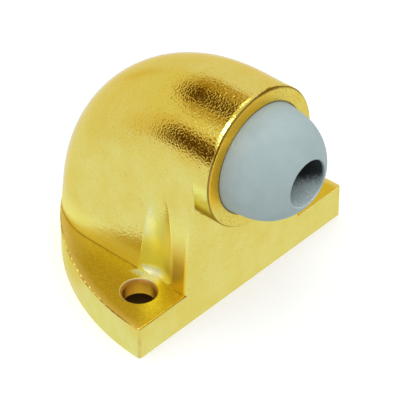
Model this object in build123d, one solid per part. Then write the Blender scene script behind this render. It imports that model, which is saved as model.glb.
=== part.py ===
from build123d import *
from math import acos, asin, atan2, cos, hypot, radians, sin
import os

# Elbow door stop: a cast brass elbow on a low base, with a rubber nose screwed into its mouth.
# Frame: origin on the floor, midway between the two floor screws; the mouth faces -Y; +Z is up.

# Base of the casting: straight front edge, sides that sweep back to a round heel
base_width = 70.0
base_thickness = 8.75
heel_ledge = 0.12
corner_round = 0.8
edge_round = 0.4

# Elbow: a round leg that tapers upwards, turns through a quarter bend and ends in the mouth
mouth_radius = 17.2
mouth_reach = 4.5
mouth_round = 0.6
bend_radius = 26.0
bend_setback = 5.0
leg_height = 13.5
leg_sink = 1.0
draft_degrees = 4.75
pedestal_edge_round = 1.0
bend_spans = 6

# Hollow underside
plate_wall = 4.0
skirt_wall = 4.0
elbow_wall = 5.0
core_turn = 40.0

# Floor screws
screw_edge = 9.7
screw_setback = 9.2
screw_hole_radius = 3.85
countersink_width = 0.6
countersink_depth = 0.7
countersink_round = 0.25
groove_floor_width = 0.55
groove_foot_round = 2.6

# Rubber bumper and its seat
mouth_lip = 3.5
seat_depth = 6.0
seat_clearance = 0.1
nose_taper = 0.4
nose_centre_reach = 2.1
bumper_web = 4.0
bumper_hole_round = 0.25

# Bumper screw
shank_radius = 2.5
shank_clearance = 0.1
head_radius = 4.75
head_clearance = 1.0
head_height = 3.2
head_round = 1.4
slot_width = 1.2
slot_depth = 1.5
screw_grip = 9.0
blind_hole_spare = 1.0

# Places and sizes that follow from those above
draft = radians(draft_degrees)
front_y = -screw_setback
bend_y = front_y + bend_setback
leg_y = bend_y + bend_radius
mouth_y = front_y - mouth_reach
mouth_height = leg_height + bend_radius
seat_y = mouth_y + seat_depth
seat_radius = mouth_radius - mouth_lip
cavity_top = base_thickness - plate_wall
pocket_top = mouth_height - mouth_radius
screw_spacing = base_width - 2 * screw_edge
sink_radius = screw_hole_radius + countersink_width
driver_groove_radius = sink_radius + groove_floor_width + groove_foot_round
bumper_hole_radius = head_radius + head_clearance
upwards = (Align.CENTER, Align.CENTER, Align.MIN)


def round_at(height):
    """Radius of the ball that rolls through the elbow, when its centre is at this height."""
    return mouth_radius + (mouth_height - height) * sin(draft)


def cheek_at(height, inset=0.0):
    """Half width between the drafted cheeks, and radius of the leg, at this height."""
    return (round_at(height) - inset) / cos(draft)


def along_mouth(shape, start_y):
    """Lay a shape that was drawn up +Z on the axis of the mouth, pointing out of it."""
    return Pos(0, start_y, mouth_height) * Rot(90, 0, 0) * shape


def base_outline(inset=0.0):
    """Pointed arch with a straight front edge and a round heel, drawn in by the inset."""
    heel_radius = cheek_at(base_thickness) + heel_ledge
    half_width = base_width / 2
    leg_setback = leg_y - front_y
    side_radius = (half_width**2 + leg_setback**2 - heel_radius**2) / (2 * (half_width - heel_radius))
    side_centre = side_radius - half_width
    side = Circle(side_radius - inset)
    arch = Pos(side_centre, front_y) * side & Pos(-side_centre, front_y) * side
    arch -= Pos(0, front_y + inset - side_radius) * Rectangle(2 * side_radius, 2 * side_radius)
    tip = arch.vertices().sort_by(Axis.Y)[-1]
    return fillet(tip, heel_radius - inset)


def base_plate():
    plate = extrude(base_outline(), base_thickness)
    corners = plate.edges().filter_by(Axis.Z).sort_by(Axis.Y)[:2]
    plate = fillet(corners, corner_round)
    return fillet(plate.faces().sort_by(Axis.Z)[-1].edges(), edge_round)


def leg(foot, inset=0.0):
    """Drafted round leg, from the height of its foot up to the start of the bend."""
    ball = round_at(leg_height) - inset
    top = leg_height + ball * sin(draft)
    cone = Cone(cheek_at(foot, inset), ball * cos(draft), top - foot, align=upwards)
    return Pos(0, leg_y, foot) * cone


def bend_section(turn, inset):
    """Circle on which the rolling ball touches the elbow, this many degrees round the bend."""
    angle = radians(turn)
    centre_z = leg_height + bend_radius * sin(angle)
    ball = round_at(centre_z) - inset
    lean = sin(draft) * cos(angle)
    lead = ball * lean
    along = (0, -sin(angle), cos(angle))
    inward = (0, -cos(angle), -sin(angle))
    origin = (0, bend_y + bend_radius * cos(angle) + lead * along[1], centre_z + lead * along[2])
    return Plane(origin=origin, x_dir=inward, z_dir=along) * Circle(ball * cos(asin(lean)))


def bend(end_turn, inset=0.0):
    """Tapering bend, from the top of the leg round to the end turn."""
    turns = [end_turn * span / bend_spans for span in range(bend_spans + 1)]
    return loft([bend_section(turn, inset) for turn in turns])


def cheeks(foot, front, inset=0.0):
    """Drafted block that fills the inside of the bend; its sides run tangent into the elbow."""
    contact_low = leg_height + (round_at(leg_height) - inset) * sin(draft)
    contact_top = mouth_height + (mouth_radius - inset) * sin(draft)
    crown = EllipticalCenterArc((bend_y, contact_low), bend_radius, contact_top - contact_low, arc_size=90)
    rest = Polyline(crown @ 1, (front, contact_top), (front, foot), (leg_y, foot), crown @ 0)
    side_view = extrude(Plane.YZ * make_face(Curve() + [crown, rest]), base_width, both=True)
    low = cheek_at(foot, inset)
    high = cheek_at(contact_top, inset)
    section = Polyline((-low, foot), (low, foot), (high, contact_top), (-high, contact_top), close=True)
    return side_view & extrude(Plane.XZ * make_face(section), 2 * base_width, both=True)


def pedestal():
    block = cheeks(cavity_top, front_y)
    front_edges = block.faces().sort_by(Axis.Y)[0].edges().sort_by(Axis.X)
    return fillet([front_edges[0], front_edges[-1]], pedestal_edge_round)


def mouth_tube():
    tube = along_mouth(Cylinder(mouth_radius, bend_y - mouth_y, align=upwards), bend_y)
    return fillet(tube.edges().sort_by(Axis.Y)[0], mouth_round)


def floor_screw_cut():
    """Turned cutter: screw hole, countersink with a round rim, and the round-footed groove for a driver."""
    groove_top = base_thickness + mouth_height
    corners = [
        (0, 0),
        (screw_hole_radius, 0),
        (screw_hole_radius, base_thickness - countersink_depth),
        (sink_radius, base_thickness),
        (driver_groove_radius, base_thickness),
        (driver_groove_radius, groove_top),
        (0, groove_top),
    ]
    profile = make_face(Polyline(*corners, close=True))
    rim = profile.vertices().sort_by_distance((sink_radius, base_thickness))[0]
    profile = fillet(rim, countersink_round)
    groove_foot = profile.vertices().sort_by_distance((driver_groove_radius, base_thickness))[0]
    return revolve(Plane.XZ * fillet(groove_foot, groove_foot_round), Axis.Z)


def hollow():
    """Core of the casting: shallow under the base, higher in the pedestal and the leg."""
    shallow = extrude(base_outline(skirt_wall), cavity_top)
    pocket = cheeks(0, front_y + elbow_wall, elbow_wall)
    pocket &= Box(2 * base_width, 2 * base_width, pocket_top, align=upwards)
    end_z = leg_height + bend_radius * sin(radians(core_turn))
    end_y = bend_y + bend_radius * cos(radians(core_turn))
    end_ball = Pos(0, end_y, end_z) * Sphere(round_at(end_z) - elbow_wall)
    return shallow + pocket + leg(0, elbow_wall) + bend(core_turn, elbow_wall) + end_ball


def elbow_body():
    body = base_plate() + leg(base_thickness - leg_sink) + bend(90) + mouth_tube() + pedestal()
    for side in (-1, 1):
        body -= Pos(side * screw_spacing / 2, 0, 0) * floor_screw_cut()
    body -= hollow()
    body -= along_mouth(Cylinder(seat_radius, 2 * seat_depth, align=upwards), seat_y)
    blind_depth = screw_grip + blind_hole_spare
    return body - along_mouth(Cylinder(shank_radius + shank_clearance, 2 * blind_depth), seat_y)


def rubber_bumper():
    """Turned form: plain plug in the seat, tapering flank, round nose, deep centre hole."""
    plug_radius = seat_radius - seat_clearance
    nose_radius = plug_radius - nose_taper
    nose_centre = seat_depth + nose_centre_reach
    flank_start = acos(nose_radius / hypot(plug_radius, nose_centre_reach))
    touch = flank_start - atan2(nose_centre_reach, plug_radius)
    rim = acos(bumper_hole_radius / nose_radius)
    nose_angles = (touch, (touch + rim) / 2, rim)
    nose = [(nose_radius * cos(angle), nose_centre + nose_radius * sin(angle)) for angle in nose_angles]
    bore = shank_radius + shank_clearance
    outline = Curve() + [
        Polyline((bore, 0), (plug_radius, 0), (plug_radius, seat_depth), nose[0]),
        ThreePointArc(*nose),
        Polyline(nose[2], (bumper_hole_radius, bumper_web), (bore, bumper_web), (bore, 0)),
    ]
    bumper = revolve(Plane.XZ * make_face(outline), Axis.Z)
    hole_rim = bumper.edges().filter_by(GeomType.CIRCLE).sort_by(Axis.Z)[-1]
    return along_mouth(fillet(hole_rim, bumper_hole_round), seat_y)


def bumper_screw():
    """Slotted round-head screw; its head presses the web of the bumper into the seat."""
    head = Cylinder(head_radius, head_height, align=upwards)
    head = fillet(head.edges().sort_by(Axis.Z)[-1], head_round)
    head -= Pos(0, 0, head_height) * Box(4 * head_radius, slot_width, 2 * slot_depth)
    shank_length = bumper_web + screw_grip
    shank = Pos(0, 0, -shank_length) * Cylinder(shank_radius, shank_length, align=upwards)
    return along_mouth(Pos(0, 0, bumper_web) * (head + shank), seat_y)


os.makedirs("parts", exist_ok=True)
export_step(elbow_body(), "parts/elbow_body.step")
export_step(rubber_bumper(), "parts/rubber_bumper.step")
export_step(bumper_screw(), "parts/bumper_screw.step")
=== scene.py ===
# %% [markdown]
# # Elbow door stop
# A cast brass elbow is screwed to the floor, and a grey rubber bumper in its mouth takes the knock of the
# door. The solids arrive finished from the construction model: their forms, edges and sizes are right. This
# lesson gives them their finishes and a small studio, and every step prints what it made.

# %% Load the frame
from math import cos, pi, radians, sin

import bpy
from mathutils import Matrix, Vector


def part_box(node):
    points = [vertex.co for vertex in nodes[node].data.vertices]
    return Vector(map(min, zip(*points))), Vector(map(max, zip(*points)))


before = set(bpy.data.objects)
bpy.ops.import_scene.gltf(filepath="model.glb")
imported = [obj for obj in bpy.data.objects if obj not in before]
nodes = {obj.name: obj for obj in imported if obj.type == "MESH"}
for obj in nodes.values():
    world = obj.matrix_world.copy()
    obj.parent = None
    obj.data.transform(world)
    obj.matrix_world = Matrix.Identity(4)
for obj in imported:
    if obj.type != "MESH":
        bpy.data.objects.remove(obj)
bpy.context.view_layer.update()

for name in sorted(nodes):
    low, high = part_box(name)
    print(name, "measures", [round(1000 * side, 1) for side in high - low], "mm")

# %% [markdown]
# ## Camera
# The stop is seen from its left front corner and from above, through a long lens, so that its edges hardly
# converge. The direction is given as two angles, the same way as for the cards further on, and one helper
# turns such angles into a unit vector. The lens follows from the focal length in pixels, because the
# picture's width stands for the width of the sensor.

# %% Camera
IMAGE_SIDE = 400
SENSOR_WIDTH = 36.0
FOCAL_PIXELS = 2539.6
VIEW_AZIMUTH = -47.72
VIEW_ELEVATION = 38.82
VIEW_DISTANCE = 0.5884
VIEW_TARGET = Vector((0.00155, 0.0058, 0.01601))


def direction(azimuth, elevation):
    """Unit vector towards a compass angle (0 is the front, 90 is +X) and a height above the horizon."""
    a = radians(azimuth)
    e = radians(elevation)
    return Vector((sin(a) * cos(e), -cos(a) * cos(e), sin(e)))


camera_data = bpy.data.cameras.new("studio_camera")
camera_data.sensor_width = SENSOR_WIDTH
camera_data.lens = FOCAL_PIXELS / IMAGE_SIDE * SENSOR_WIDTH
camera_data.clip_start = 0.01
camera = bpy.data.objects.new("studio_camera", camera_data)
bpy.context.scene.collection.objects.link(camera)
towards_camera = direction(VIEW_AZIMUTH, VIEW_ELEVATION)
camera.location = VIEW_TARGET + VIEW_DISTANCE * towards_camera
camera.rotation_euler = (-towards_camera).to_track_quat("-Z", "Y").to_euler()
bpy.context.scene.camera = camera
print("camera lens", round(camera_data.lens, 1), "mm")

# %% [markdown]
# ## Small tools for shader nodes
# Every finish below is a tree of nodes. By hand, one adds a node, sets its options and drags links; these
# helpers do the same three things in one line. `step_between` is the work horse: it turns a distance or an
# angle into a mask with a soft edge, which is how a finish knows where on the casting it is.

# %% Node helpers
def add_node(tree, kind, settings=None, inputs=None):
    """Adds one node, sets its options and fills its sockets with values or with links from other sockets."""
    node = tree.nodes.new(kind)
    for option, value in (settings or {}).items():
        setattr(node, option, value)
    for socket, value in (inputs or {}).items():
        if isinstance(value, bpy.types.NodeSocket):
            tree.links.new(value, node.inputs[socket])
        else:
            node.inputs[socket].default_value = value
    return node


def step_between(tree, amount, start, end):
    """0 at the start and 1 at the end, with a soft rise; the start may be the larger of the two."""
    node = add_node(tree, "ShaderNodeMapRange", {"interpolation_type": "SMOOTHSTEP"},
                    {"Value": amount, "From Min": start, "From Max": end})
    return node.outputs[0]


def blend(tree, mask, first, second):
    """First colour where the mask is 0, second colour where it is 1."""
    node = add_node(tree, "ShaderNodeMix", {"data_type": "RGBA"}, {0: mask, 6: first, 7: second})
    return node.outputs[2]


def blend_value(tree, mask, first, second):
    """First number where the mask is 0, second number where it is 1."""
    return add_node(tree, "ShaderNodeMix", {"data_type": "FLOAT"}, {0: mask, 2: first, 3: second}).outputs[0]


print("helpers for nodes, masks and blends ready")

# %% Number helpers
def arithmetic(tree, operation, first, second=0.0):
    """One step of arithmetic between sockets or numbers."""
    return add_node(tree, "ShaderNodeMath", {"operation": operation}, {0: first, 1: second}).outputs[0]


def less(tree, first, second):
    return arithmetic(tree, "SUBTRACT", first, second)


def product(tree, *factors):
    """Masks multiplied together: all of them have to hold."""
    result = factors[0]
    for factor in factors[1:]:
        result = arithmetic(tree, "MULTIPLY", result, factor)
    return result


def largest(tree, *masks):
    """Masks joined together: one of them has to hold."""
    result = masks[0]
    for mask in masks[1:]:
        result = arithmetic(tree, "MAXIMUM", result, mask)
    return result


def distance(tree, first, second):
    """Length of the step with these two parts at right angles."""
    squares = arithmetic(tree, "ADD", product(tree, first, first), product(tree, second, second))
    return arithmetic(tree, "SQRT", squares)


def axes_of(tree, vector):
    """The X, Y and Z of a vector."""
    return add_node(tree, "ShaderNodeSeparateXYZ", inputs={0: vector}).outputs


def length_of(tree, vector):
    return add_node(tree, "ShaderNodeVectorMath", {"operation": "LENGTH"}, {0: vector}).outputs["Value"]


def new_material(name):
    material = bpy.data.materials.new(name)
    material.use_nodes = True
    material.node_tree.nodes.clear()
    return material, material.node_tree


def finish_material(tree, shader):
    output = add_node(tree, "ShaderNodeOutputMaterial")
    tree.links.new(shader, output.inputs["Surface"])


print("helpers for numbers and materials ready")

# %% [markdown]
# ## Light tent
# Polished metal looks like whatever stands round it, so the tent has two faces. What the metal mirrors is
# white low down, golden overhead, cool at the right and dimmer at the front. What falls on matte rubber and
# on the floor is plain white light, stronger from above. One even sky would be simpler, but a golden one
# would tint the rubber and a white one would leave the brass flat.

# %% World
MIRRORED_LOW = (1.00, 0.99, 1.00, 1)
MIRRORED_HIGH = (0.96, 0.905, 0.63, 1)
MIRRORED_SIDE = (0.98, 0.98, 1.10, 1)
MIRRORED_FRONT = (0.80, 0.78, 0.74, 1)
LIGHT_LOW = (0.42, 0.42, 0.42, 1)
LIGHT_HIGH = (1.10, 1.10, 1.10, 1)

world = bpy.data.worlds.new("light_tent")
world.use_nodes = True
tree = world.node_tree
axes = axes_of(tree, add_node(tree, "ShaderNodeTexCoord").outputs["Generated"])
mirrored = blend(tree, step_between(tree, axes["Z"], -0.2, 0.5), MIRRORED_LOW, MIRRORED_HIGH)
mirrored = blend(tree, step_between(tree, axes["X"], 0.3, 0.55), mirrored, MIRRORED_SIDE)
mirrored = blend(tree, step_between(tree, axes["Y"], -0.05, -0.5), mirrored, MIRRORED_FRONT)
shed = blend(tree, step_between(tree, axes["Z"], -0.2, 0.9), LIGHT_LOW, LIGHT_HIGH)
path = add_node(tree, "ShaderNodeLightPath")
cloth = blend(tree, path.outputs["Is Glossy Ray"], shed, mirrored)
tree.links.new(cloth, tree.nodes["Background"].inputs["Color"])
bpy.context.scene.world = world
bpy.context.scene.view_settings.view_transform = "Standard"
print("tent of", len(tree.nodes), "nodes")

# %% [markdown]
# ## Floor
# A white sheet, lifted a little for the camera so that little more than the contact shadow shows. Under the
# hollow casting and below its screw holes no light arrives, so the sheet is painted dark there, a painted
# shade. What the metal mirrors of the sheet is a glow that only glossy rays meet: cool near the stop,
# neutral far off, with a cool strip of paper at the left of the base and a warm one behind its heel, which
# keep the low walls an even yellow.

# %% Floor
FLOOR_SIZE = 4.0
FLOOR_WHITE = (0.69, 0.70, 0.70, 1)
FLOOR_PAINTED_SHADE = (0.22, 0.14, 0.06, 1)
FLOOR_LIFT = 0.48
SHADE_CENTRE_Y = 0.009
SHADE_RADII = (0.029, 0.015)
HOLE_SHADE_INNER = 0.0055
HOLE_SHADE_OUTER = 0.0075
PER_MM = 1000.0
SCREW_X = 25.3

bpy.ops.object.select_all(action="DESELECT")
bpy.ops.mesh.primitive_plane_add(size=FLOOR_SIZE, location=(0, 0, 0))
floor = bpy.context.object
floor.name = "studio_floor"
floor_paint, tree = new_material("floor_white")
coords = add_node(tree, "ShaderNodeTexCoord").outputs["Object"]
under = add_node(tree, "ShaderNodeMapping", inputs={
    "Vector": coords,
    "Location": (0, -SHADE_CENTRE_Y / SHADE_RADII[1], 0),
    "Scale": (1 / SHADE_RADII[0], 1 / SHADE_RADII[1], 1)})
axes = axes_of(tree, coords)
off_centre = arithmetic(tree, "ABSOLUTE", axes["X"])
from_hole = distance(tree, less(tree, off_centre, SCREW_X / PER_MM), axes["Y"])
off_holes = step_between(tree, from_hole, HOLE_SHADE_INNER, HOLE_SHADE_OUTER)
lit = step_between(tree, length_of(tree, under.outputs[0]), 0.85, 1.0)
shown = product(tree, lit, off_holes)
# painted shade: the sheet is coloured dark under the hollow casting and below its screw holes
paint = add_node(tree, "ShaderNodeBsdfDiffuse", inputs={
    "Color": blend(tree, shown, FLOOR_PAINTED_SHADE, FLOOR_WHITE)})
path = add_node(tree, "ShaderNodeLightPath")
lift = add_node(tree, "ShaderNodeEmission", inputs={
    "Strength": product(tree, shown, path.outputs["Is Camera Ray"], FLOOR_LIFT)})
white = add_node(tree, "ShaderNodeAddShader", inputs={0: paint.outputs[0], 1: lift.outputs[0]})
print("floor", FLOOR_SIZE, "m wide")

# %% Mirrored floor
FLOOR_NEAR = (1.01, 1.10, 1.35, 1)
FLOOR_FAR = (0.98, 0.98, 0.98, 1)
COOL_PAPER = (1.01, 1.20, 1.80, 1)
WARM_PAPER = (0.92, 0.97, 0.50, 1)


def strip(amount, outer_low, inner_low, inner_high, outer_high):
    """1 between the two inner marks, fading to 0 at the outer ones."""
    rise = step_between(tree, amount, outer_low, inner_low)
    return product(tree, rise, step_between(tree, amount, outer_high, inner_high))


near = step_between(tree, length_of(tree, coords), 0.22, 0.08)
beside_x = strip(axes["X"], -0.042, -0.036, -0.030, -0.022)
beside_y = strip(axes["Y"], -0.014, -0.006, 0.016, 0.024)
behind_y = strip(axes["Y"], 0.016, 0.030, 0.036, 0.044)
behind = product(tree, step_between(tree, axes["X"], -0.036, -0.030), behind_y)
sheet = blend(tree, near, FLOOR_FAR, FLOOR_NEAR)
sheet = blend(tree, product(tree, beside_x, beside_y), sheet, COOL_PAPER)
sheet = blend(tree, behind, sheet, WARM_PAPER)
glow = add_node(tree, "ShaderNodeEmission", inputs={"Color": sheet, "Strength": lit})
mix = add_node(tree, "ShaderNodeMixShader", inputs={
    0: path.outputs["Is Glossy Ray"], 1: white.outputs[0], 2: glow.outputs[0]})
finish_material(tree, mix.outputs[0])
floor.data.materials.append(floor_paint)
print(floor_paint.name, "has", len(tree.nodes), "nodes")

# %% [markdown]
# ## Cards and panels
# Two dark flags behind the stop put the two brown patches on the bend, and golden veils round them make the
# brass deeper towards the patches. Two more flags, at the right and at the camera's side, deepen the rim of
# the mouth and the flange. Three bright panels put the white streak on the rim and the sparkle on the peel.
# Each is a plane that faces the stop, sized by the angle under which it is seen; its edge fades out through
# a gel, so that no outline shows in the metal. Only the metal meets them: they shade nothing and the camera
# does not see them.

# %% Card maker
CARD_DISTANCE = 0.7
CARD_TARGET = Vector((0, 0.008, 0.03))
CLEAR = (1.0, 1.0, 1.0)
AMBER = (0.80, 0.50, 0.11)


def card(name, azimuth, elevation, width, height, colour, gel=AMBER, soft=0.6):
    """Plane at these angles from the stop, with a soft edge of coloured gel; width and height in degrees."""
    towards = direction(azimuth, elevation)
    bpy.ops.object.select_all(action="DESELECT")
    bpy.ops.mesh.primitive_plane_add(size=2.0, location=(0, 0, 0))
    piece = bpy.context.object
    piece.name = name
    piece.scale = (CARD_DISTANCE * radians(width) / 2, CARD_DISTANCE * radians(height) / 2, 1)
    piece.rotation_euler = towards.to_track_quat("Z", "Y").to_euler()
    piece.location = CARD_TARGET + CARD_DISTANCE * towards
    for sight in ("visible_camera", "visible_diffuse", "visible_shadow"):
        setattr(piece, sight, False)
    finish, tree = new_material(name + "_finish")
    reach = length_of(tree, add_node(tree, "ShaderNodeTexCoord").outputs["Object"])
    gelled = step_between(tree, reach, 1.0, 1.0 - soft)
    covered = step_between(tree, reach, 1.0 - soft / 3, 1.0 - soft)
    clear = add_node(tree, "ShaderNodeBsdfTransparent", inputs={
        "Color": blend(tree, gelled, (*CLEAR, 1), (*gel, 1))})
    light = add_node(tree, "ShaderNodeEmission", inputs={"Color": (*colour, 1)})
    mix = add_node(tree, "ShaderNodeMixShader", inputs={0: covered, 1: clear.outputs[0], 2: light.outputs[0]})
    finish_material(tree, mix.outputs[0])
    piece.data.materials.append(finish)
    print(name, "at", azimuth, elevation, "degrees")


print("cards will stand", CARD_DISTANCE, "m from the stop")

# %% Cards
BACK = 180
GOLD = (0.93, 0.80, 0.50)
TAN = (0.60, 0.43, 0.15)
BROWN = (0.48, 0.31, 0.04)
RUSSET = (0.33, 0.22, 0.06)
UMBER = (0.10, 0.041, 0.001)
DARK_BROWN = (0.07, 0.03, 0.005)
SKYLIGHT = (1.5, 1.7, 2.2)
TOP_LIGHT = (4.0, 4.0, 4.0)
KEY_LIGHT = (9.0, 9.0, 9.0)

card("left_veil", BACK + 44, 12, 36, 60, GOLD, gel=GOLD, soft=0.9)
card("back_veil", BACK - 19, 8, 16, 44, GOLD, gel=GOLD, soft=0.9)
card("corner_veil", BACK + 36, 49, 34, 26, TAN, gel=GOLD, soft=0.8)
card("upper_veil", BACK - 25, 51, 36, 28, BROWN, gel=AMBER, soft=0.7)
card("top_flag", BACK + 4, 54, 58, 31, UMBER, soft=0.6)
card("left_flag", BACK + 58, 14, 37, 46, UMBER, soft=0.65)
card("right_flag", BACK - 112, 30, 84, 56, RUSSET, soft=0.4)
card("camera_flag", BACK + 145, 10, 84, 60, DARK_BROWN)
card("key_panel", BACK + 95, 60, 44, 32, KEY_LIGHT, gel=CLEAR, soft=0.3)
card("side_panel", BACK + 75, 43, 50, 20, SKYLIGHT, gel=CLEAR, soft=0.8)
card("top_panel", BACK - 50, 72, 24, 14, TOP_LIGHT, gel=CLEAR, soft=0.3)

# %% [markdown]
# ## Shared effects
# Two effects are node groups with named inputs. `moulded_grain`, which all three finishes use, is the skin
# that a mould leaves: a fine peel for the bump, slow blotches of tone, and specks where the peel stands
# high. `fine_scuffs` are the short scratches of handling, made from a wave that a noise breaks up.

# %% Group helpers
def new_group(name, inputs, outputs):
    """Empty node group; inputs come with their usual value, and all sockets carry numbers or vectors."""
    group = bpy.data.node_groups.new(name, "ShaderNodeTree")
    for socket, usual in inputs.items():
        kind = "NodeSocketVector" if usual is None else "NodeSocketFloat"
        made = group.interface.new_socket(socket, in_out="INPUT", socket_type=kind)
        if usual is not None:
            made.default_value = usual
    for socket in outputs:
        group.interface.new_socket(socket, in_out="OUTPUT", socket_type="NodeSocketFloat")
    start = add_node(group, "NodeGroupInput")
    end = add_node(group, "NodeGroupOutput")
    return group, start.outputs, end.inputs


def place_group(tree, group, inputs):
    return add_node(tree, "ShaderNodeGroup", {"node_tree": group}, inputs).outputs


print("helpers for node groups ready")

# %% Shared effects
grain, given, results = new_group("moulded_grain", {"Place": None, "Grain": 2.6, "Blotch": 0.12},
                                  ("Height", "Tone", "Speck"))
fine = add_node(grain, "ShaderNodeTexNoise", inputs={
    "Vector": given["Place"], "Scale": given["Grain"], "Detail": 1.0, "Roughness": 0.4})
slow = add_node(grain, "ShaderNodeTexNoise", inputs={
    "Vector": given["Place"], "Scale": given["Blotch"], "Detail": 5.0, "Roughness": 0.62})
grain.links.new(fine.outputs[0], results["Height"])
grain.links.new(step_between(grain, slow.outputs[0], 0.34, 0.66), results["Tone"])
grain.links.new(step_between(grain, fine.outputs[0], 0.50, 0.75), results["Speck"])

scuffs, given, results = new_group("fine_scuffs", {"Place": None, "Spacing": 1.0}, ("Mask",))
patchy = add_node(scuffs, "ShaderNodeTexNoise", inputs={
    "Vector": given["Place"], "Scale": 0.35, "Detail": 2.0})
lines = add_node(scuffs, "ShaderNodeTexWave", {"wave_type": "BANDS", "bands_direction": "DIAGONAL"}, {
    "Vector": given["Place"], "Scale": given["Spacing"],
    "Distortion": 6.0, "Detail": 3.0, "Detail Scale": 1.5})
thin = step_between(scuffs, lines.outputs[1], 0.93, 1.0)
broken = step_between(scuffs, patchy.outputs[0], 0.5, 0.62)
scuffs.links.new(product(scuffs, thin, broken), results["Mask"])
print("groups:", [group.name for group in bpy.data.node_groups])

# %% [markdown]
# ## Where is what on the casting
# A real casting is not finished alike all over. The outside is buffed, but the wheel cannot reach the top of
# the flange, the foot of the cheeks or the underside of the mouth. The driver grooves are cut, the mouth is
# turned flat, holes are drilled, and nobody touches the hollow underside. A third group tells these places
# apart. It starts with distances in millimetres: from the foot of the pedestal, from the nearest screw, from
# the arc of the base and from the axis of the mouth. Both halves are alike, so `side` ignores left and right.

# %% Casting zones: distances
body_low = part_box("elbow_body")[0]
bumper_low, bumper_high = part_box("rubber_bumper")
FLANGE_TOP = 8.75
FOOT_HALF_WIDTH = 19.81
LEG_Y = 21.8
FRONT_Y = -9.2
HOLE_RIM = 4.45
GROOVE_RADIUS = 7.6
SIDE_ARC_RADIUS = 59.36
SIDE_ARC_CENTRE = 24.36
SEAT_RADIUS = 13.7
MOUTH_FACE_Y = PER_MM * body_low.y
MOUTH_HEIGHT = PER_MM * (bumper_low.z + bumper_high.z) / 2
ZONE_NAMES = ("Flange", "Rubbed", "Spot Face Highlight", "Foot", "Groove", "Edge", "Corner", "Bore", "Turned", "Rim",
              "Seam", "Under Mouth", "Inside")

zones, given, results = new_group("casting_zones", {"Place": None, "Facing": None}, ZONE_NAMES)
where = axes_of(zones, given["Place"])
facing = axes_of(zones, given["Facing"])
side = arithmetic(zones, "ABSOLUTE", where["X"])
behind_leg = arithmetic(zones, "MAXIMUM", less(zones, where["Y"], LEG_Y), 0.0)
from_foot = less(zones, distance(zones, side, behind_leg), FOOT_HALF_WIDTH)
from_screw = distance(zones, less(zones, side, SCREW_X), where["Y"])
across = arithmetic(zones, "ADD", side, SIDE_ARC_CENTRE)
from_arc_centre = distance(zones, across, less(zones, where["Y"], FRONT_Y))
from_arc = less(zones, SIDE_ARC_RADIUS, from_arc_centre)
from_mouth = distance(zones, where["X"], less(zones, where["Z"], MOUTH_HEIGHT))
above_flange = less(zones, where["Z"], FLANGE_TOP)
print("mouth at", round(MOUTH_HEIGHT, 2), "mm, its face at", round(MOUTH_FACE_Y, 2), "mm")

# %% [markdown]
# The flange is what lies level at its height; along its arc and at its heel it is rubbed pale. The spot face
# is the small bowl that the cutter leaves at the foot of the groove, with the bit of flange beside it. Foot
# and groove are the parts of the cheeks that the wheel misses.

# %% Casting zones: flange, foot and groove
def ramp(amount, start, end):
    """Soft mask inside the group of zones."""
    return step_between(zones, amount, start, end)


at_flange = ramp(above_flange, 0.5, 0.2)
not_below = ramp(above_flange, -0.5, 0.0)
flange = product(zones, at_flange, ramp(facing["Z"], 0.8, 0.97))
rubbed = product(zones, flange, largest(zones, ramp(from_arc, 2.4, 0.2), ramp(where["Y"], 14.0, 27.0)))
bowl = product(zones, ramp(above_flange, 2.4, 0.8), ramp(facing["Z"], 1.0, 0.9), ramp(facing["Z"], 0.05, 0.5))
apron = product(zones, flange, ramp(from_foot, 2.4, 0.8))
in_cut = ramp(from_screw, GROOVE_RADIUS + 0.4, GROOVE_RADIUS - 0.4)
# painted highlight: the spot face is kept to the side of the screw where the crescent highlight lies
spot_face_highlight = product(zones, largest(zones, bowl, apron), in_cut, ramp(where["Y"], -2.2, 1.0))
in_groove = ramp(from_screw, GROOVE_RADIUS + 0.25, GROOVE_RADIUS + 0.05)
groove = product(zones, in_groove, not_below, ramp(above_flange, 23.0, 11.0))
in_strip = product(zones, ramp(where["Y"], -2.0, -4.0), ramp(above_flange, 22.0, 11.0))
low_down = product(zones, not_below, largest(zones, ramp(above_flange, 9.0, 2.0), in_strip))
foot = product(zones, low_down, ramp(facing["Y"], -0.8, -0.5), less(zones, 1.0, in_groove))
print("flange, spot face, foot and groove told apart")

# %% [markdown]
# Edges are found by the way they face: a round is where the surface faces neither straight up nor sideways.
# The corner is a thin line where the pedestal stands on the flange, the bore is all within the rim of a
# screw hole, and the turned face, its rim and the seam round the bumper are found from the mouth. A surface
# that faces the middle of the casting is inside it.

# %% Casting zones: edges, holes and mouth
CORNER_REACH = 0.22

at_edge = product(zones, at_flange, ramp(above_flange, -0.5, -0.3))
clear_of_hole = ramp(from_screw, HOLE_RIM - 0.1, HOLE_RIM + 0.3)
top_edge = product(zones, ramp(facing["Z"], 0.15, 0.4), ramp(facing["Z"], 0.98, 0.8), at_edge, clear_of_hole)
sideways = arithmetic(zones, "ABSOLUTE", facing["X"])
turning = product(zones, ramp(sideways, 0.1, 0.35), ramp(facing["Y"], -0.1, -0.35))
front_corner = product(zones, turning, ramp(where["Y"], FRONT_Y + 1.0, FRONT_Y + 0.6), ramp(side, 30.0, 33.0))
edge = largest(zones, top_edge, product(zones, front_corner, 0.5))
near_foot = ramp(arithmetic(zones, "ABSOLUTE", from_foot), CORNER_REACH, 0.0)
corner = product(zones, near_foot, at_edge, ramp(from_screw, GROOVE_RADIUS, GROOVE_RADIUS + 0.6))
bore = product(zones, at_flange, ramp(from_screw, HOLE_RIM + 0.05, HOLE_RIM - 0.3))
from_face = less(zones, where["Y"], MOUTH_FACE_Y)
turned = product(zones, ramp(facing["Y"], -0.75, -0.95), ramp(from_face, 0.5, 0.2))
rounding = product(zones, ramp(facing["Y"], -0.1, -0.3), ramp(facing["Y"], -0.95, -0.75))
rim = product(zones, rounding, ramp(from_face, 0.8, 0.5))
seam = product(zones, turned, ramp(from_mouth, SEAT_RADIUS + 0.4, SEAT_RADIUS + 0.1))
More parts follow.
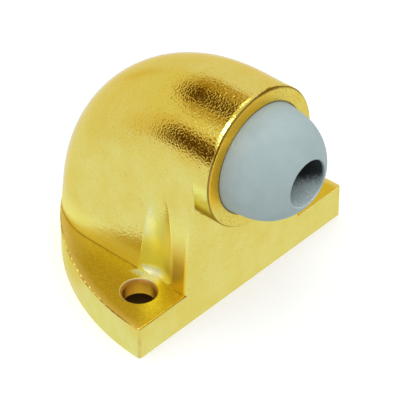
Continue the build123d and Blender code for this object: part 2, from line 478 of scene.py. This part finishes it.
in_front = product(zones, ramp(where["Y"], FRONT_Y + 0.1, FRONT_Y - 0.1), ramp(above_flange, 8.0, 10.0))
under_mouth = product(zones, in_front, ramp(facing["Z"], 0.1, -0.1), ramp(facing["Y"], -0.6, -0.3))
print("edges, holes and mouth told apart")

# %% Casting zones: inside
from_middle = less(zones, where["Y"], LEG_Y / 2)
out_along_x = product(zones, where["X"], facing["X"])
outwards = arithmetic(zones, "ADD", out_along_x, product(zones, from_middle, facing["Y"]))
ceiling = product(zones, ramp(facing["Z"], -0.3, -0.6), ramp(where["Y"], FRONT_Y + 1.2, FRONT_Y + 2.2))
walls = product(zones, ramp(outwards, 0.0, -1.0), ramp(facing["Z"], 0.2, 0.05), clear_of_hole)
inside = product(zones, largest(zones, ceiling, walls), ramp(where["Z"], 0.1, 0.6))

masks = (flange, rubbed, spot_face_highlight, foot, groove, edge, corner, bore, turned, rim, seam, under_mouth, inside)
for name, mask in zip(ZONE_NAMES, masks):
    zones.links.new(mask, results[name])
print("zones of the casting:", ", ".join(ZONE_NAMES))

# %% [markdown]
# ## Buffed cast brass
# One material holds the whole casting, because it is one piece: the zones choose between finishes. Buffed
# brass comes first, blotched and specked. On it lie the hazy foot, warmer low down beside the front edge,
# and the cut groove, with painted reflection palest high up at its back, a painted highlight high on its
# front side and warm low down at its front. The flange is duller and browner, with a painted reflection
# that makes its right half warmer; its rubbed band is paler, and the spot face is painted pale cream, a
# painted highlight on a frosted finish.

# %% Brass: places and zones
def place_in_mm(tree):
    """Object coordinates in millimetres, and the way that the surface faces."""
    coords = add_node(tree, "ShaderNodeTexCoord")
    scaled = add_node(tree, "ShaderNodeVectorMath", {"operation": "SCALE"},
                      {0: coords.outputs["Object"], "Scale": PER_MM})
    return scaled.outputs[0], coords.outputs["Normal"]


brass, tree = new_material("polished_brass")
place, normal = place_in_mm(tree)
axes = axes_of(tree, place)
zone = place_group(tree, zones, {"Place": place, "Facing": normal})
skin = place_group(tree, grain, {"Place": place, "Grain": 2.1, "Blotch": 0.16})
scratch = place_group(tree, scuffs, {"Place": place, "Spacing": 1.1})
print(brass.name, "knows its zones and its grain")

# %% Brass: buffed, foot, groove and flange
BUFFED = (0.72, 0.60, 0.145, 1)
BUFFED_WARM = (0.71, 0.56, 0.108, 1)
BUFFED_SPECK = (0.62, 0.47, 0.07, 1)
HAZY = (0.86, 0.77, 0.19, 1)
HAZY_WARM = (0.80, 0.57, 0.06, 1)
CUT = (0.95, 0.89, 0.13, 1)
CUT_HIGH = (0.74, 0.73, 0.155, 1)
CUT_PAINTED_PALE = (0.757, 0.77, 0.36, 1)
CUT_SIDE_PAINTED_HIGHLIGHT = (1.0, 0.93, 0.22, 1)
CUT_SIDE_LOW = (0.72, 0.58, 0.07, 1)
DULL = (0.64, 0.50, 0.060, 1)
DULL_SPECK = (0.56, 0.42, 0.045, 1)
DULL_PAINTED_REFLECTION = (0.66, 0.44, 0.022, 1)
RUBBED = (0.76, 0.61, 0.17, 1)
SPOT_FACE_PAINTED_HIGHLIGHT = (0.60, 0.59, 0.38, 1)

colour = blend(tree, skin["Tone"], BUFFED_WARM, BUFFED)
speck = product(tree, skin["Speck"], blend_value(tree, step_between(tree, axes["Z"], 6.0, 12.0), 0.1, 0.5))
colour = blend(tree, speck, colour, BUFFED_SPECK)
warm_strip = step_between(tree, axes["Z"], FLANGE_TOP + 16.0, FLANGE_TOP + 6.0)
warm_strip = product(tree, warm_strip, step_between(tree, axes["Y"], -2.0, -4.0))
hazy = blend(tree, warm_strip, HAZY, HAZY_WARM)
colour = blend(tree, zone["Foot"], colour, hazy)
# painted reflection and highlight: the groove is painted palest high up at its back and bright high on its
# front side
cut_high = blend(tree, step_between(tree, axes["Y"], 1.0, 3.0), CUT_HIGH, CUT_PAINTED_PALE)
cut = blend(tree, step_between(tree, axes["Z"], FLANGE_TOP + 7.0, FLANGE_TOP + 12.0), CUT, cut_high)
side_height = step_between(tree, axes["Z"], FLANGE_TOP + 2.0, FLANGE_TOP + 8.0)
cut_side_highlight = blend(tree, side_height, CUT_SIDE_LOW, CUT_SIDE_PAINTED_HIGHLIGHT)
cut = blend(tree, step_between(tree, axes["Y"], 0.5, -2.5), cut, cut_side_highlight)
colour = blend(tree, zone["Groove"], colour, cut)
dull = blend(tree, step_between(tree, skin["Height"], 0.35, 0.65), DULL, DULL_SPECK)
# painted reflection: the right half of the flange is painted warmer
right_flange_reflection = step_between(tree, axes["X"], 12.0, 22.0)
right_flange_reflection = product(tree, right_flange_reflection, blend_value(tree, skin["Tone"], 1.0, 0.8))
dull = blend(tree, right_flange_reflection, dull, DULL_PAINTED_REFLECTION)
colour = blend(tree, zone["Flange"], colour, dull)
colour = blend(tree, zone["Rubbed"], colour, RUBBED)
# painted highlight: the spot face is painted pale cream on a frosted finish
colour = blend(tree, zone["Spot Face Highlight"], colour, SPOT_FACE_PAINTED_HIGHLIGHT)
print("colours of the buffed and dull brass laid")

# %% [markdown]
# The turned face is specked, painted orange round its left side as a painted reflection, and painted dark
# along the seam as painted shade. The drilled walls are painted paler on the pedestal's side as painted
# light, and the countersink is dark. The brass under the mouth has painted shade that darkens the further
# it faces down, and the underside keeps its casting skin. Last come the thin lines: edges worn to
# copper-brown at the left and painted bright at the right as a painted highlight, and painted shade in the
# corner at the foot and along the rim of the mouth.

# %% Brass: mouth, holes, underside and lines
TURNED = (0.78, 0.615, 0.115, 1)
TURNED_SPECK = (0.52, 0.36, 0.06, 1)
TURNED_PAINTED_REFLECTION = (0.91, 0.535, 0.04, 1)
TURNED_PAINTED_REFLECTION_PALE = (0.97, 0.59, 0.055, 1)
SEAM_PAINTED_SHADE = (0.26, 0.19, 0.06, 1)
DRILLED = (0.42, 0.17, 0.010, 1)
DRILLED_PAINTED_LIGHT = (0.68, 0.34, 0.018, 1)
COUNTERSUNK = (0.40, 0.18, 0.018, 1)
UNDER_PAINTED_LIGHT = (0.85, 0.83, 0.19, 1)
UNDER_PAINTED_SHADE = (0.36, 0.24, 0.001, 1)
AS_CAST = (0.36, 0.25, 0.07, 1)
WORN_EDGE = (0.46, 0.24, 0.06, 1)
EDGE_PAINTED_HIGHLIGHT = (1.0, 0.88, 0.30, 1)
CORNER_PAINTED_SHADE = (0.44, 0.31, 0.06, 1)
RIM_PAINTED_SHADE = (0.20, 0.11, 0.015, 1)

mouth = blend(tree, product(tree, skin["Speck"], 0.7), TURNED, TURNED_SPECK)
above_mouth = less(tree, axes["Z"], MOUTH_HEIGHT)
# painted reflection: the left side of the turned face is painted orange, paler higher up
painted_reflection = blend(tree, step_between(tree, above_mouth, 1.0, 11.0), TURNED_PAINTED_REFLECTION, TURNED_PAINTED_REFLECTION_PALE)
left_side = step_between(tree, axes["X"], 8.0, -4.0)
left_side = product(tree, left_side, step_between(tree, above_mouth, -8.0, -2.0))
mouth = blend(tree, left_side, mouth, painted_reflection)
# painted shade: a dark line along the seam round the bumper
mouth = blend(tree, zone["Seam"], mouth, SEAM_PAINTED_SHADE)
colour = blend(tree, zone["Turned"], colour, mouth)
off_centre = arithmetic(tree, "ABSOLUTE", axes["X"])
# painted light: the drilled wall is painted paler on the pedestal's side
drilled_painted_light = blend(tree, step_between(tree, off_centre, SCREW_X + 1.5, SCREW_X - 3.5), DRILLED, DRILLED_PAINTED_LIGHT)
countersink = step_between(tree, axes["Z"], FLANGE_TOP - 0.9, FLANGE_TOP - 0.6)
colour = blend(tree, zone["Bore"], colour, blend(tree, countersink, drilled_painted_light, COUNTERSUNK))
down = axes_of(tree, normal)["Z"]
# painted shade: the brass under the mouth is painted darker the further it faces down
under_painted_shade = blend(tree, step_between(tree, down, -0.28, -0.5), UNDER_PAINTED_LIGHT, UNDER_PAINTED_SHADE)
colour = blend(tree, zone["Under Mouth"], colour, under_painted_shade)
colour = blend(tree, zone["Inside"], colour, AS_CAST)
worn = product(tree, zone["Edge"], skin["Tone"], step_between(tree, axes["X"], 8.0, -8.0))
colour = blend(tree, worn, colour, WORN_EDGE)
# painted highlight: edges on the right half are painted bright
right_edge_highlight = product(tree, zone["Edge"], step_between(tree, axes["X"], -8.0, 8.0))
colour = blend(tree, right_edge_highlight, colour, EDGE_PAINTED_HIGHLIGHT)
# painted shade: a dark line in the corner at the foot of the pedestal
colour = blend(tree, product(tree, zone["Corner"], 0.6), colour, CORNER_PAINTED_SHADE)
# painted shade: a dark line along the rim of the mouth
colour = blend(tree, product(tree, zone["Rim"], 0.85), colour, RIM_PAINTED_SHADE)
print("colours of the mouth, the holes and the lines laid")

# %% [markdown]
# Roughness follows the same zones: the buffed skin is nearly a mirror, everything else is duller, and the
# frosted spot face hardly shines like metal at all, so that with its pale paint it looks like a cream painted
# highlight in the white light. The peel is a bump of less than a tenth of a millimetre, calmer where the
# wheel did not go and nearly gone where a cutter went. The wheel also rolled the upper rim of the mouth
# over, a little more than its small round, so that it catches the key panel.

# %% Brass: roughness, peel and shader
EDGE_TINT = (0.94, 0.83, 0.54, 1)
PEEL_DEPTH = 0.000065
ROLL_WIDTH = 1.7
ROLL_DEPTH = 0.0002

rough = blend_value(tree, skin["Tone"], 0.11, 0.08)
for name, dullness in (("Foot", 0.38), ("Groove", 0.42), ("Flange", 0.34), ("Spot Face Highlight", 0.5),
                       ("Turned", 0.45), ("Under Mouth", 0.35), ("Bore", 0.4), ("Inside", 0.65)):
    rough = blend_value(tree, zone[name], rough, dullness)
rough = blend_value(tree, right_edge_highlight, rough, 0.7)
rough = blend_value(tree, product(tree, scratch["Mask"], 0.3), rough, 0.5)

calm = blend_value(tree, largest(tree, zone["Foot"], zone["Flange"]), 1.0, 0.4)
calm = blend_value(tree, largest(tree, zone["Groove"], zone["Spot Face Highlight"]), calm, 0.08)
height = product(tree, skin["Height"], calm)
rolled = arithmetic(tree, "MAXIMUM", less(tree, MOUTH_FACE_Y + ROLL_WIDTH, axes["Y"]), 0.0)
upper_rim = step_between(tree, above_mouth, 9.0, 12.5)
roll = product(tree, rolled, rolled, upper_rim, -ROLL_DEPTH / PEEL_DEPTH)
peel = add_node(tree, "ShaderNodeBump", inputs={
    "Height": arithmetic(tree, "ADD", height, roll), "Strength": 1.0, "Distance": PEEL_DEPTH})
metal = add_node(tree, "ShaderNodeBsdfPrincipled", inputs={
    "Base Color": colour, "Metallic": blend_value(tree, zone["Spot Face Highlight"], 1.0, 0.25),
    "Roughness": rough, "Normal": peel.outputs[0], "Specular Tint": EDGE_TINT})
finish_material(tree, metal.outputs[0])
print(brass.name, "has", len(tree.nodes), "nodes")

# %% [markdown]
# ## Grey rubber
# A moulded rubber with a dull skin and faint blotches of tone. In its hole the lower wall is painted pale
# and speckled, a painted light. The upper wall and the bottom, which no light reaches, are painted nearly
# black, a painted shade; the line between them is broken up by the grain.

# %% Rubber
RUBBER = (0.43, 0.54, 0.55, 1)
RUBBER_PALE = (0.46, 0.57, 0.58, 1)
RUBBER_PAINTED_LIGHT = (0.80, 0.95, 0.96, 1)
RUBBER_PAINTED_SHADE = (0.03, 0.038, 0.038, 1)
HOLE_RADIUS = 5.75
PORE_DEPTH = 0.00002
NOSE_TIP_Y = PER_MM * bumper_low.y

rubber, tree = new_material("grey_rubber")
place = place_in_mm(tree)[0]
axes = axes_of(tree, place)
skin = place_group(tree, grain, {"Place": place, "Grain": 1.6, "Blotch": 0.22})
above_axis = less(tree, axes["Z"], MOUTH_HEIGHT)
in_hole = step_between(tree, distance(tree, axes["X"], above_axis), HOLE_RADIUS + 0.3, HOLE_RADIUS + 0.05)
depth = less(tree, axes["Y"], NOSE_TIP_Y)
mottle = product(tree, less(tree, skin["Height"], 0.5), 1.8)
ragged = arithmetic(tree, "ADD", above_axis, mottle)
light_speckle = blend_value(tree, skin["Speck"], 0.55, 1.0)
# painted light: the lower wall of the hole is painted pale, speckled by the grain
painted_light_below = product(tree, in_hole, step_between(tree, ragged, -2.0, -5.0), light_speckle)
slanted = arithmetic(tree, "ADD", ragged, product(tree, less(tree, depth, 3.0), 0.5))
# painted shade: the upper wall and the bottom of the hole are painted nearly black
painted_upper_shade = product(tree, step_between(tree, slanted, -4.6, -1.6), step_between(tree, depth, 0.2, 1.0))
deep = product(tree, in_hole, largest(tree, painted_upper_shade, step_between(tree, depth, 7.0, 14.0)))
colour = blend(tree, skin["Tone"], RUBBER, RUBBER_PALE)
colour = blend(tree, painted_light_below, colour, RUBBER_PAINTED_LIGHT)
colour = blend(tree, deep, colour, RUBBER_PAINTED_SHADE)
rough = blend_value(tree, skin["Tone"], 0.78, 0.66)
pores = add_node(tree, "ShaderNodeBump", inputs={
    "Height": skin["Height"], "Strength": 1.0, "Distance": PORE_DEPTH})
soft = add_node(tree, "ShaderNodeBsdfPrincipled", inputs={
    "Base Color": colour, "Roughness": rough, "Normal": pores.outputs[0], "Specular IOR Level": 0.35})
finish_material(tree, soft.outputs[0])
print(rubber.name, "has", len(tree.nodes), "nodes")

# %% [markdown]
# ## Bumper screw
# Plated steel, deep in the dark of the hole. Its head was turned, so fine rings round its axis catch the
# light, and the plating has the same slow blotches as the other skins.

# %% Steel
STEEL = (0.50, 0.49, 0.46, 1)
STEEL_DULL = (0.34, 0.33, 0.30, 1)
RING_SPACING = 0.3
RING_SHARE = 0.3
RING_DEPTH = 0.00002

steel, tree = new_material("screw_steel")
place = place_in_mm(tree)[0]
axes = axes_of(tree, place)
skin = place_group(tree, grain, {"Place": place, "Grain": 3.0, "Blotch": 0.5})
from_axis = distance(tree, axes["X"], less(tree, axes["Z"], MOUTH_HEIGHT))
rings = arithmetic(tree, "SINE", product(tree, from_axis, 2 * pi / RING_SPACING))
height = arithmetic(tree, "ADD", product(tree, rings, RING_SHARE), skin["Height"])
marks = add_node(tree, "ShaderNodeBump", inputs={"Height": height, "Strength": 1.0, "Distance": RING_DEPTH})
metal = add_node(tree, "ShaderNodeBsdfPrincipled", inputs={
    "Base Color": blend(tree, skin["Tone"], STEEL_DULL, STEEL), "Metallic": 1.0,
    "Roughness": blend_value(tree, skin["Tone"], 0.5, 0.35), "Normal": marks.outputs[0]})
finish_material(tree, metal.outputs[0])
print(steel.name, "has", len(tree.nodes), "nodes")

# %% [markdown]
# ## Dressing the solids
# Each solid is one piece of one material, so it takes one finish.

# %% Dress the solids
for node, material in (("elbow_body", brass), ("rubber_bumper", rubber), ("bumper_screw", steel)):
    nodes[node].data.materials.clear()
    nodes[node].data.materials.append(material)
    print(node, "wears", material.name)
